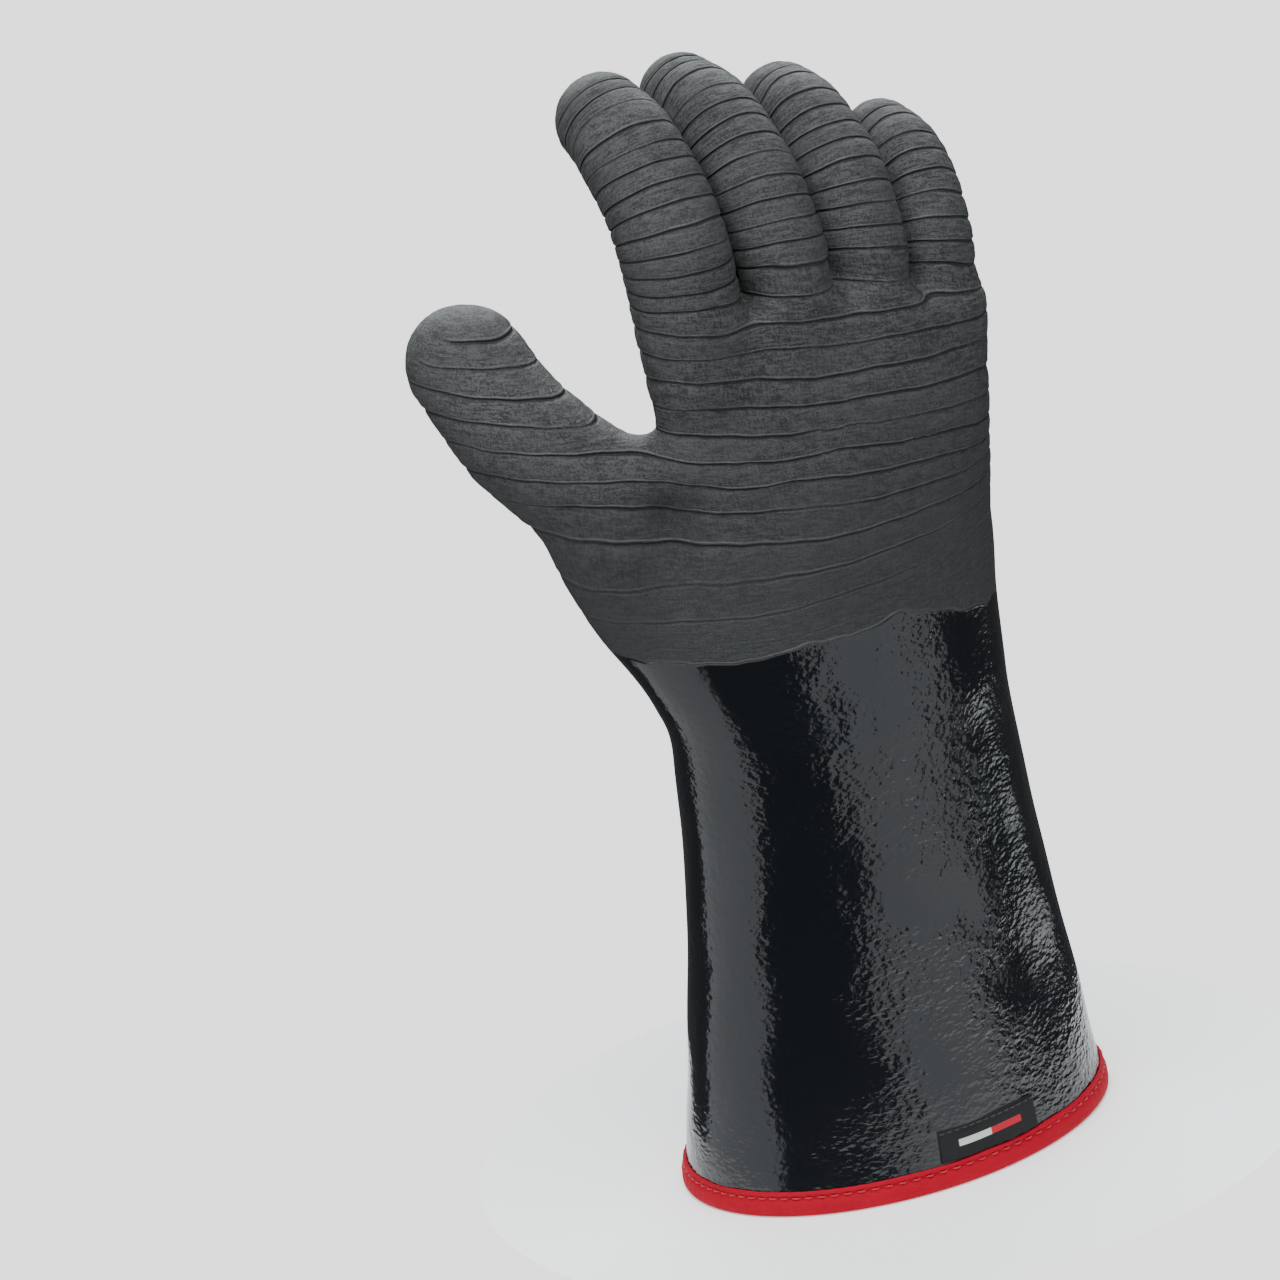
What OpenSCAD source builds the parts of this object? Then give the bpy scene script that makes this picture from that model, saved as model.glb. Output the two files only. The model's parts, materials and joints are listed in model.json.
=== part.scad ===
// Heat resistant barbecue glove for the right hand. A dipped rubber shell covers an insulating
// liner, the cuff is bound with folded tape, and every finger bends at each of its knuckles.
// Millimetres. +Z runs from the hem of the cuff to the fingertips, -Y is the back of the hand
// and +X is the little-finger side. The hem stands on z = 0, centred on the origin.

/* [Cuff] */
// Width of the cuff at the hem, thumb side to little-finger side
cuff_w = 136; // [130:1:142]
// Depth of the cuff at the hem, back of the hand to palm
cuff_d = 102; // [96:1:108]
// How fast the cuff flares below the wrist, as a power
flare = 1.6; // [1.3:0.1:2]

/* [Hand] */
// Height of the wrist's bend line above the hem
wrist_z = 140; // [136:1:144]
// Width of the wrist
wrist_w = 108; // [104:1:110]
// Depth of the wrist
wrist_d = 76; // [72:1:80]
// Size of the fingers' cross-section, as a share of the drawn one
finger_fit = 1; // [0.94:0.01:1]

/* [Layers] */
// Thickness of the dipped rubber shell
shell_t = 1.5; // [1.2:0.1:1.8]
// Thickness of the quilted insulation
insulation_t = 2.5; // [2:0.1:3]
// Thickness of the soft inner lining
lining_t = 0.8; // [0.6:0.1:1]

/* [Bending] */
// How far each finger bends further at its root, in degrees
root_flex = 40; // [30:1:40]
// How far each finger bends further at its middle knuckle
middle_flex = 40; // [30:1:40]
// How far each finger bends further at its end knuckle
end_flex = 25; // [15:1:25]
// How far the wrist bends towards the palm
wrist_flex = 30; // [15:1:30]
// How far the wrist bends back
wrist_back = 25; // [10:1:25]

/* [Trim] */
// Height of the binding tape on each side of the hem
binding_h = 7.5; // [6:0.5:9]
// Thickness of the binding tape
binding_t = 0.9; // [0.7:0.1:1.1]
// Length of the woven label along the hem
label_len = 36; // [30:1:42]
// Height of the woven label above the binding
label_h = 10; // [8:1:12]
// Width of the hang loop's webbing
webbing_w = 10; // [8:1:12]
// Length of the hang loop's eye
loop_len = 42; // [36:1:48]

/* [Hidden] */

rubber = "#2c2f30";
gloss = "#17191c";
felt = "#8b8d8f";
cotton = "#c9c7c1";
red_tape = "#d3132c";
webbing = "#141414";

wall_t = shell_t + insulation_t + lining_t;
cuff_sides = 48;       // points round the cuff's sections
finger_sides = 20;     // points round a finger's sections
slack = 1;             // degrees of room at each limit of a bend
seam = 0.15;           // room between pieces that meet at rest
ply = 0.1;             // room between the cuff's layers

// ---- Fingers. Each is [name, root point, splay, lean at rest of each bone, bone lengths, radii].
// Leans are measured from the hand's own direction towards the palm, and a splay towards +X.
index = ["index", [-26.9, 0.8, 278], -2, [8, 34, 58], [23, 24.3, 27], [16.2, 15.8, 15, 13.7]];
middle = ["middle", [4.6, -1.5, 281], 1, [24, 50, 76], [24, 23, 26.4], [14.6, 14.5, 13.5, 12.4]];
ring = ["ring", [34, 1, 273], 5, [22, 49, 77], [20, 21.5, 25.2], [14, 13.8, 12.9, 11.9]];
little = ["little", [60.3, 4.2, 260], 9, [16, 44, 70], [16, 16.8, 21.2], [12.3, 12.1, 11.4, 10.5]];
FINGERS = [index, middle, ring, little];

// The thumb leans out and towards the palm, and bends across it.
thumb_root = [-55.6, 22.2, 217.5];
thumb_dir = unit([-0.46, 0.46, 0.76]);
thumb_over = unit(cross_free([1, 0.5, 0], thumb_dir));
thumb_bones = [29, 44];
thumb_radii = [19, 18.8, 17.2];
thumb_lean = [0, 16];
thumb_flex = [10, 25];  // how far it bends further at its root and at its middle knuckle
thumb_back = 12;        // how far it swings back at its root
root_back = 10;         // how far a finger's base bends back past straight

// ---- Small vector tools
function unit(v) = v / norm(v);
function cross_free(v, d) = v - (v * d) * d;
function reversed(list) = [for (i = [len(list) - 1 : -1 : 0]) list[i]];
function flat(lists) = [for (l = lists) for (p = l) p];

// A bone's frame: [along, towards the palm, across], for a finger or the thumb at a lean.
function bone_frame(splay, lean) = [
    [sin(splay) * cos(lean), sin(lean), cos(splay) * cos(lean)],
    [-sin(splay) * sin(lean), cos(lean), -cos(splay) * sin(lean)],
    [cos(splay), 0, -sin(splay)]
];
function thumb_frame(lean) = [
    cos(lean) * thumb_dir + sin(lean) * thumb_over,
    cos(lean) * thumb_over - sin(lean) * thumb_dir,
    cross(thumb_over, thumb_dir)
];

// ---- Closed skins made of rings
// Rings joined one to the next and the last to the first make a wall with a hollow through it.
module ring_loop(rings) {
    n = len(rings[0]);
    m = len(rings);
    polyhedron(points = flat(rings), faces = [
        for (i = [0 : m - 1], j = [0 : n - 1], k = [0, 1])
            let (a = i * n + j, b = i * n + (j + 1) % n,
                 c = (i + 1) % m * n + (j + 1) % n, d = (i + 1) % m * n + j)
            k == 0 ? [a, d, b] : [b, d, c]
    ], convexity = 6);
}

// Rings joined in a row and closed by a point at each end make a cup.
module ring_row(first, rings, last) {
    n = len(rings[0]);
    m = len(rings);
    polyhedron(points = concat(flat(rings), [first, last]), faces = concat(
        [for (i = [0 : m - 2], j = [0 : n - 1], k = [0, 1])
            let (a = i * n + j, b = i * n + (j + 1) % n,
                 c = (i + 1) * n + (j + 1) % n, d = (i + 1) * n + j)
            k == 0 ? [a, d, b] : [b, d, c]],
        [for (j = [0 : n - 1]) [m * n, j, (j + 1) % n]],
        [for (j = [0 : n - 1]) [m * n + 1, (m - 1) * n + (j + 1) % n, (m - 1) * n + j]]
    ), convexity = 6);
}

// A strip: equal closed sections joined in a row, with flat ends.
module strip(sections) {
    n = len(sections[0]);
    m = len(sections);
    polyhedron(points = flat(sections), faces = concat(
        [for (i = [0 : m - 2], j = [0 : n - 1], k = [0, 1])
            let (a = i * n + j, b = i * n + (j + 1) % n,
                 c = (i + 1) * n + (j + 1) % n, d = (i + 1) * n + j)
            k == 0 ? [a, d, b] : [b, d, c]],
        [[for (j = [0 : n - 1]) j]],
        [[for (j = [n - 1 : -1 : 0]) (m - 1) * n + j]]
    ), convexity = 4);
}

// ---- Cuff
wrist_x = 3;         // the wrist's middle, towards the little finger from the hem's
function cuff_share(z) = pow(max(0, 1 - z / wrist_z), flare);
function cuff_half(z) = [
    (wrist_w + (cuff_w - wrist_w) * cuff_share(z)) / 2,
    (wrist_d + (cuff_d - wrist_d) * cuff_share(z)) / 2
];
// The cuff's middle drifts towards the little finger on its way up.
function cuff_middle(z) = wrist_x * (1 - cuff_share(z));
// A point of the cuff at an angle and height, moved out from the shell's outer face.
function cuff_point(turn, z, out) = let (h = cuff_half(z))
    [cuff_middle(z) + (h[0] + out) * cos(turn), (h[1] + out) * sin(turn), z];
function cuff_normal(turn) = let (h = cuff_half(0)) unit([h[1] * cos(turn), h[0] * sin(turn), 0]);
function cuff_tangent(turn) = let (n = cuff_normal(turn)) [-n[1], n[0], 0];
// How far a cut through the wrist's bend line leans away from it at a depth y.
function wrist_notch(y) = abs(y) * tan((y > 0 ? wrist_flex : wrist_back) / 2 + slack);
function cuff_top(turn, out) = wrist_z - wrist_notch((wrist_d / 2 + out) * sin(turn));
function cuff_column(turn, out, share) =
    let (low = binding_t + seam, top = cuff_top(turn, out))
    cuff_point(turn, low + (top - low) * share, out);
function cuff_ring(out, share) = [for (i = [0 : cuff_sides - 1]) cuff_column(i * 360 / cuff_sides, out, share)];
cuff_shares = [0, 0.12, 0.27, 0.42, 0.58, 0.75, 1];

module cuff_layer(out, thickness) {
    difference() {
        ring_loop(concat(
            [for (s = cuff_shares) cuff_ring(out, s)],
            [for (s = reversed(cuff_shares)) cuff_ring(out - thickness, s)]
        ));
        webbing_tunnel();
    }
}

module gauntlet_shell() { color(gloss) cuff_layer(0, shell_t); }
module gauntlet_insulation() { color(felt) cuff_layer(-shell_t - ply, insulation_t - 2 * ply); }
module gauntlet_lining() { color(cotton) cuff_layer(-shell_t - insulation_t, lining_t); }

// The skin that gathers and stretches round the wrist's bend line.
module wrist_fold() {
    function edge(out, side) = [
        for (i = [0 : cuff_sides - 1])
            let (turn = i * 360 / cuff_sides,
                 y = (wrist_d / 2 + out) * sin(turn),
                 gap = max(0.12, wrist_notch(y) - seam))
            [wrist_x + (wrist_w / 2 + out) * cos(turn), y, wrist_z + side * gap]
    ];
    sides = [-1, -0.33, 0.33, 1];
    bulge = [0, -0.25, -0.25, 0];
    color(gloss) ring_loop(concat(
        [for (k = [0 : 3]) edge(bulge[k] - 0.05, sides[k])],
        [for (k = [3 : -1 : 0]) edge(bulge[k] - shell_t, sides[k])]
    ));
}

// ---- Binding, label and stitches
module cuff_binding() {
    out = binding_t;
    low = binding_t;
    ins = -wall_t - 0.2;
    section = [
        [0.03, binding_h], [out - 0.2, binding_h], [out, binding_h - 0.4], [out, 1.2], [out - 0.35, 0.35],
        [out - 1.2, 0], [ins + 0.3, 0], [ins - out + 0.35, 0.35], [ins - out, 1.2],
        [ins - out, binding_h - 0.4], [ins - out + 0.2, binding_h], [ins - 0.03, binding_h],
        [ins - 0.03, low], [0.03, low]
    ];
    color(red_tape) difference() {
        ring_loop([for (s = section) [for (i = [0 : cuff_sides * 2 - 1])
            cuff_point(i * 180 / cuff_sides, s[1], s[0])]]);
        webbing_tunnel();
    }
}

// The hem rides over the hang loop's webbing here.
loop_turn = 52;
tunnel_w = webbing_w + 1;
webbing_t = 1.2;
tails_h = 2 * webbing_t;
tail_in = -wall_t - 3;      // the webbing's sewn end stands this far in from the cuff's outer face
module at_loop(out) {
    p = cuff_point(loop_turn, 0, 0);
    n = cuff_normal(loop_turn);
    translate([p[0] + out * n[0], p[1] + out * n[1], 0]) rotate([0, 0, atan2(n[1], n[0])]) children();
}
module webbing_tunnel() {
    at_loop(tail_in) translate([0, -tunnel_w / 2, -1]) cube([4 - tail_in, tunnel_w, tails_h + 0.4 + 1]);
}

// Stitches lie along the cuff on the tape or the label, each a separate short length of thread.
module stitch(turn, z, out, length, thread = 0.5) {
    translate(cuff_point(turn, z, out + thread / 2 + 0.05))
        rotate([0, 0, atan2(cuff_tangent(turn)[1], cuff_tangent(turn)[0])])
            rotate([0, 90, 0]) cylinder(d = thread, h = length, center = true, $fn = 16);
}

stitch_count = 96;
stitch_z = binding_h - 1.8;
module binding_stitches() {
    color("#a80d20") for (i = [0 : stitch_count - 1])
        let (turn = (i + 0.5) * 360 / stitch_count) stitch(turn, stitch_z, binding_t, 2.4);
}

label_turn = -88;
label_t = 0.6;
label_low = binding_h + 0.2;
// The turn that goes with a distance along the hem from the label's middle.
function label_angle(x) = label_turn + x * 180 / PI / (cuff_w / 2 * 0.985);
module cuff_label() {
    steps = 12;
    color(webbing) strip([
        for (i = [0 : steps])
            let (turn = label_angle((i / steps - 0.5) * label_len))
            [cuff_point(turn, label_low, 0.08), cuff_point(turn, label_low, 0.08 + label_t),
             cuff_point(turn, label_low + label_h, 0.12 + label_t), cuff_point(turn, label_low + label_h, 0.12)]
    ]);
}

module label_stitches() {
    color("#2b2b2b") for (x = [-label_len / 2 + 1.6 : 2.73 : label_len / 2 - 1.4])
        stitch(label_angle(x), label_low + label_h - 0.9, label_t + 0.1, 1.9, 0.4);
}

// ---- Hang loop
loop_root = 2;       // the eye starts this far outside the hem
loop_open = 9;       // height of the eye
// The eye's outline, along the floor and up, closed by a half round at its far end.
module eye_outline(inset) {
    r = loop_open / 2 + webbing_t - inset;
    hull() {
        translate([loop_len - loop_open / 2 - webbing_t, loop_open / 2 + webbing_t]) circle(r = r, $fn = 48);
        translate([inset == 0 ? 0 : 5, tails_h / 2]) circle(r = max(0.3, tails_h / 2 - inset), $fn = 24);
    }
}
module hang_loop() {
    color(webbing) at_loop(loop_root + 0.4) rotate([90, 0, 0]) translate([webbing_t, 0, -webbing_w / 2])
        linear_extrude(height = webbing_w) difference() {
            eye_outline(0);
            eye_outline(webbing_t);
        }
}
module hang_loop_tails() {
    lift = 11;     // how far up the lining the ends are sewn
    inside = tail_in;
    outline = [
        [loop_root - 0.2, 0.02], [inside - tails_h, 0.02], [inside - tails_h, lift],
        [inside, lift], [inside, tails_h], [loop_root - 0.2, tails_h]
    ];
    color(webbing) at_loop(0) rotate([90, 0, 0]) translate([0, 0, -webbing_w / 2])
        linear_extrude(height = webbing_w) polygon(outline);
}
module loop_stitches() {
    color("#2b2b2b") at_loop(tail_in - tails_h - 0.25) for (y = [-3 : 1.5 : 3])
        translate([0, y, 8.6]) cylinder(d = 0.4, h = 3, center = true, $fn = 16);
}

// ---- Finger bones: walls between two notched ends
function notch(p, palm_angle, back_angle) = abs(p) * tan(p > 0 ? palm_angle : back_angle);

// One ring round a bone. ends is the two half angles of its notch, and side is 1 where the notch
// eats into the bone's start, -1 where it eats into its end and 0 between them.
function bone_ring(centre, frame, r, ends, side) = [
    for (i = [0 : finger_sides - 1])
        let (t = i * 360 / finger_sides,
             x = finger_fit * r * cos(t), p = finger_fit * r * sin(t))
        centre + x * frame[2] + p * frame[1] + side * (notch(p, ends[0], ends[1]) + seam) * frame[0]
];

// The half angles of the notch at a knuckle: [palm side, back]. It bends back to straight, and
// past it by the angle given.
function knuckle(bend, flex, back = 0) = [(bend + flex) / 2 + slack, back / 2 + slack];

// A wall between two knuckles.
module bone_wall(from, frame, length, r0, r1, start, end, out, thickness) {
    function rings(out) = [
        bone_ring(from, frame, r0 + out, start, 1),
        bone_ring(from + 0.5 * length * frame[0], frame, (r0 + r1) / 2 + out + 0.25, [0, 0], 0),
        bone_ring(from + length * frame[0], frame, r1 + out, end, -1)
    ];
    ring_loop(concat(rings(out), reversed(rings(out - thickness))));
}

// A wall from a knuckle to a rounded tip. length runs to the outside of the tip.
module tip_wall(from, frame, length, r0, r1, start, out, thickness) {
    dome = [0, 25, 48, 68];
    function shape(out) = concat(
        [bone_ring(from, frame, r0 + out, start, 1)],
        [for (a = dome) bone_ring(from + (length - r1 + (r1 + out) * sin(a)) * frame[0],
                                  frame, (r1 + out) * cos(a), [0, 0], 0)]
    );
    function pole(out) = from + (length + out) * frame[0];
    ring_row(pole(out - thickness), concat(reversed(shape(out - thickness)), shape(out)), pole(out));
}

// The soft skin in a knuckle's notch, from the end of one bone to the start of the next.
module knuckle_fold(at, frame0, frame1, r, ends) {
    function rings(out) = [
        bone_ring(at, frame0, r + out, ends, -0.985),
        [for (i = [0 : finger_sides - 1])
            let (t = i * 360 / finger_sides, across = frame1[2],
                 palm = unit(frame0[1] + frame1[1]),
                 x = finger_fit * (r + out) * cos(t), p = finger_fit * (r + out) * sin(t))
            at + x * across + (p + (p > 0 ? 0.35 : -0.2) * abs(sin(t))) * palm],
        bone_ring(at, frame1, r + out, ends, 0.985)
    ];
    ring_loop(concat(rings(0), reversed(rings(-shell_t))));
}

liner_t = insulation_t + lining_t;
liner_room = 0.45;   // room between a digit's shell and its liner
liner_gap = 2.2;     // the liner stops this far short of each knuckle

function finger_frames(f) = [for (lean = f[3]) bone_frame(f[2], lean)];
function finger_joints(f) = let (g = finger_frames(f)) [
    f[1],
    f[1] + f[4][0] * g[0][0],
    f[1] + f[4][0] * g[0][0] + f[4][1] * g[1][0]
];
function finger_bends(f) = [f[3][0], f[3][1] - f[3][0], f[3][2] - f[3][1]];
function finger_knuckles(f) = let (b = finger_bends(f))
    [knuckle(b[0], root_flex, root_back), knuckle(b[1], middle_flex), knuckle(b[2], end_flex)];

module finger_bone(f, i, out, thickness, short) {
    g = finger_frames(f)[i];
    k = finger_knuckles(f);
    at = finger_joints(f)[i] + short * g[0];
    if (i < 2) bone_wall(at, g, f[4][i] - 2 * short, f[5][i], f[5][i + 1], k[i], k[i + 1], out, thickness);
    else tip_wall(at, g, f[4][i] - short, f[5][i], f[5][i + 1], k[i], out, thickness);
}
module finger_shell(f, i) { color(rubber) finger_bone(f, i, 0, shell_t, 0); }
module finger_liner(f, i) { color(felt) finger_bone(f, i, -shell_t - liner_room, liner_t, i == 1 ? 1.2 : liner_gap); }
module finger_fold(f, i) {
    g = finger_frames(f);
    before = i == 0 ? bone_frame(f[2], 0) : g[i - 1];
    color(rubber) knuckle_fold(finger_joints(f)[i], before, g[i], f[5][i], finger_knuckles(f)[i]);
}

// ---- Thumb
thumb_joints = [thumb_root, thumb_root + thumb_bones[0] * thumb_frame(thumb_lean[0])[0]];
thumb_knuckles = [knuckle(0, thumb_flex[0], thumb_back), knuckle(thumb_lean[1], thumb_flex[1])];
module thumb_bone(i, out, thickness, short) {
    g = thumb_frame(thumb_lean[i]);
    at = thumb_joints[i] + short * g[0];
    if (i == 0) bone_wall(at, g, thumb_bones[0] - 2 * short, thumb_radii[0], thumb_radii[1],
                          thumb_knuckles[0], thumb_knuckles[1], out, thickness);
    else tip_wall(at, g, thumb_bones[1] - short, thumb_radii[1], thumb_radii[2], thumb_knuckles[1], out, thickness);
}
module thumb_shell(i) { color(rubber) thumb_bone(i, 0, shell_t, 0); }
module thumb_liner(i) { color(felt) thumb_bone(i, -shell_t - liner_room, liner_t, liner_gap); }
module thumb_fold(i) {
    color(rubber) knuckle_fold(thumb_joints[i], thumb_frame(i == 0 ? 0 : thumb_lean[0]),
                               thumb_frame(thumb_lean[i]), thumb_radii[i], thumb_knuckles[i]);
}

// ---- Hand: one hollow body with a short sleeve for each finger and the thumb
stub = 16;           // length of a sleeve below its finger's root
thumb_heel = [-33, 9, 168];
thumb_heel_r = 24;
thumb_web = [-21, 4, 221];
thumb_web_r = 20.5;
web_t = 1.5;         // the hand is this much fuller than a finger where a sleeve leaves it

// Places a finger's or the thumb's own axes: across, towards the palm and along.
module in_frame(at, frame) {
    multmatrix([
        [frame[2][0], frame[1][0], frame[0][0], at[0]],
        [frame[2][1], frame[1][1], frame[0][1], at[1]],
        [frame[2][2], frame[1][2], frame[0][2], at[2]]
    ]) children();
}
module sleeve(at, frame, r, inset, past) {
    in_frame(at, frame) translate([0, 0, -stub])
        cylinder(r = finger_fit * r - inset, h = stub + past, $fn = 48);
}
module palm_form(inset) {
    hull() {
        translate([wrist_x, 0, wrist_z - 4]) linear_extrude(height = 1)
            scale([wrist_w / 2 - inset, wrist_d / 2 - inset]) circle(r = 1, $fn = cuff_sides);
        for (f = FINGERS) translate(f[1] - (stub + 3) * bone_frame(f[2], 0)[0])
            sphere(r = f[5][0] + web_t - inset, $fn = 16);
    }
    hull() {
        translate(thumb_heel) sphere(r = thumb_heel_r - inset, $fn = 16);
        translate(thumb_web) sphere(r = thumb_web_r - inset, $fn = 16);
        translate(thumb_root - 14 * thumb_dir) sphere(r = thumb_radii[0] + web_t - inset, $fn = 16);
    }
}
module hand_form(inset, past) {
    palm_form(inset);
    for (f = FINGERS) sleeve(f[1], bone_frame(f[2], 0), f[5][0], inset, past);
    sleeve(thumb_root, thumb_frame(0), thumb_radii[0], inset, past);
}

// Everything past a knuckle's notch, seen from the hand.
module past_knuckle(at, frame, r, ends, room = 0) {
    far = 34;
    wide = r + 0.4;
    in_frame(at, frame) rotate([90, 0, 90]) translate([0, 0, -wide]) linear_extrude(height = 2 * wide) polygon([
        [0, -seam - room], [far, -far * tan(ends[0]) - seam - room], [far, far],
        [-far, far], [-far, -far * tan(ends[1]) - seam - room]
    ]);
}
module below_wrist(room = 0) {
    wide = 90;
    rotate([90, 0, 90]) translate([0, 0, -wide]) linear_extrude(height = 2 * wide) polygon([
        [0, wrist_z + seam + room], [wide, wrist_z + wrist_notch(wide) + seam + room], [wide, 0],
        [-wide, 0], [-wide, wrist_z + wrist_notch(-wide) + seam + room]
    ]);
}
module hand_layer(out, thickness, room) {
    difference() {
        hand_form(out, 1);
        hand_form(out + thickness, 3);
        below_wrist(room);
        for (f = FINGERS) past_knuckle(f[1], bone_frame(f[2], 0), f[5][0], finger_knuckles(f)[0], room);
        past_knuckle(thumb_root, thumb_frame(0), thumb_radii[0], thumb_knuckles[0], room);
    }
}
module hand_shell() { color(rubber) hand_layer(0, shell_t, 0); }
module hand_liner() { color(felt) hand_layer(shell_t + 0.05, liner_t, liner_gap); }

gauntlet_shell();
gauntlet_insulation();
gauntlet_lining();
wrist_fold();
cuff_binding();
binding_stitches();
cuff_label();
label_stitches();
hang_loop_tails();
loop_stitches();
hang_loop();
hand_shell();
hand_liner();
thumb_fold(0);  // thumb_root_fold
thumb_shell(0);  // thumb_base_shell
thumb_liner(0);  // thumb_base_liner
thumb_fold(1);  // thumb_middle_fold
thumb_shell(1);  // thumb_tip_shell
thumb_liner(1);  // thumb_tip_liner
knuckle_names = ["root", "middle", "end"];
bone_names = ["base", "middle", "tip"];
for (f = FINGERS, i = [0 : 2]) {
    finger_fold(f, i);
    finger_shell(f, i);
    finger_liner(f, i);
}
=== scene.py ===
"""A long-cuffed heat resistant glove: crinkled dipped rubber skin, glossy gauntlet, red bound hem.

The glove's outer skin is one distance field, in millimetres: a lofted cuff and palm, a thumb and four
fingers swept along curved lines through the frame's knuckles. Each piece of skin is taken from that
field, so that the pieces meet.
"""
import json
import math
from concurrent.futures import ThreadPoolExecutor

import bmesh
import bpy
import numpy as np
from mathutils import Matrix, Vector


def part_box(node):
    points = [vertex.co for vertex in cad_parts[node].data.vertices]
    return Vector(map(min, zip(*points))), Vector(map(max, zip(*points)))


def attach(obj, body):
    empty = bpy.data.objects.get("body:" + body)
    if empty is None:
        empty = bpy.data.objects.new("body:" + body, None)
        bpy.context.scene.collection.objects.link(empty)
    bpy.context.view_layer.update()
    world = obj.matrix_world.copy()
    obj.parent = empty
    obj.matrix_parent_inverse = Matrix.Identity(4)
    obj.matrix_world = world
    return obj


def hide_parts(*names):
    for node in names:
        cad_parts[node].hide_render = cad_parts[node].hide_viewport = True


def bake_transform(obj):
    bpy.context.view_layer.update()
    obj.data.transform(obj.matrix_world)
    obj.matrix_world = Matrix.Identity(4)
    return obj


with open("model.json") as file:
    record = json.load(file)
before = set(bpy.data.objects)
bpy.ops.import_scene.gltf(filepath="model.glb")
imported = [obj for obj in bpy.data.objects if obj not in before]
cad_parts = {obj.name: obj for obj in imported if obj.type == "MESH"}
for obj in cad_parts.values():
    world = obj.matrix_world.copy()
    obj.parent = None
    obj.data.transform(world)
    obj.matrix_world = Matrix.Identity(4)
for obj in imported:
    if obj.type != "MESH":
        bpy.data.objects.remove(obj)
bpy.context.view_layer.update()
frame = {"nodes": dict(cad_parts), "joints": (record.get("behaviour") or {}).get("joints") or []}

MM = 0.001
UP = np.array([0, 0, 1.0])
SHELL = 1.5            # thickness of the dipped shell
LINER = 3.2            # thickness of the quilted liner behind it
FLARE = 1.6            # how fast the cuff flares, as a power of the height below the wrist
SEAM_Z = 178.0         # the cuff's skin meets the hand's here
CUFF_SPLIT_Z = 106.0   # the cuff is cut into two pieces at this height
CREASE_GAP = 8.0       # distance between creases on the hand
CREASE_RATE = 0.5      # how much closer they are on the fingers
CREASE_LEAN = 0.2      # how steeply they fall towards the little finger
FINGER_LEAN = 0.12     # the same, across a finger
GROOVE = (0.45, -0.25, 0.7)      # depth, place and half width of a crease
LIP = (0.16, 0.85, 0.65)         # the fold of rubber above it: height, place and half width
FULL = 0.1             # how far the band between two creases stands out
NEAR, FAR = 20.0, 1e3  # a digit is measured exactly within the first distance of its box
SEGMENTS = 10          # straight lengths of a digit's line between two of its knots
SHARP_DEG = 82.0       # rims are sharp, and everything flatter than this is shaded smooth
FINGERS = ("index", "middle", "ring", "little")

# Radii of the fingers' skin at root, middle knuckle, end knuckle and tip, and of the thumb's.
FULLNESS = {
    "index": (16.4, 16.2, 15.6, 14.3),
    "middle": (15.0, 14.9, 14.1, 13.0),
    "ring": (14.2, 14.1, 13.4, 12.5),
    "little": (12.9, 12.7, 12.0, 11.1),
    "thumb": (19.4, 19.2, 17.6),
}


# ---- the frame's measures
joints = {j["name"]: j for j in frame["joints"]}


def unit(v):
    return v / np.linalg.norm(v, axis=-1, keepdims=True)


def joint_at(name):
    return np.array(joints[name]["pos_m"]) / MM


def turned(v, axis, degrees):
    """v turned about an axis."""
    return np.array(Matrix.Rotation(math.radians(degrees), 3, Vector(axis)) @ Vector(v))


def reach(node, origin, direction):
    """How far a CAD node goes from a point in a direction."""
    points = np.array([v.co for v in frame["nodes"][node].data.vertices]) / MM
    return float(((points - origin) @ direction).max())


def middle_and_half(node):
    low, high = (np.array(c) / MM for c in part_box(node))
    return (low + high) / 2, (high - low) / 2


wrist_mid, wrist_half = middle_and_half("wrist_fold")
hem_half = middle_and_half("gauntlet_shell")[1]
wrist_z = joint_at("wrist")[2]


# ---- small numeric tools
def smooth(low, high, x):
    t = np.clip((x - low) / (high - low), 0, 1)
    return t * t * (3 - 2 * t)


def soft_min(a, b, k):
    """The lower of two distances, with a fillet of about k where they are close."""
    h = np.maximum(k - np.abs(a - b), 0) / k
    return np.minimum(a, b) - h * h * h * k / 6


def waves(p, length, seed, count=5):
    """Smooth noise of about -1 to 1: a sum of waves of a length in seeded directions."""
    rng = np.random.default_rng(seed)
    total = np.zeros(len(p))
    for _ in range(count):
        way = unit(rng.normal(size=3)) * 2 * math.pi / (length * rng.uniform(0.7, 1.5))
        total += np.sin(p @ way + rng.uniform(0, 2 * math.pi))
    return total / math.sqrt(count)


def in_chunks(f, p, size=12000):
    with ThreadPoolExecutor(4) as pool:
        return np.concatenate(list(pool.map(f, [p[i:i + size] for i in range(0, len(p), size)])))


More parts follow.
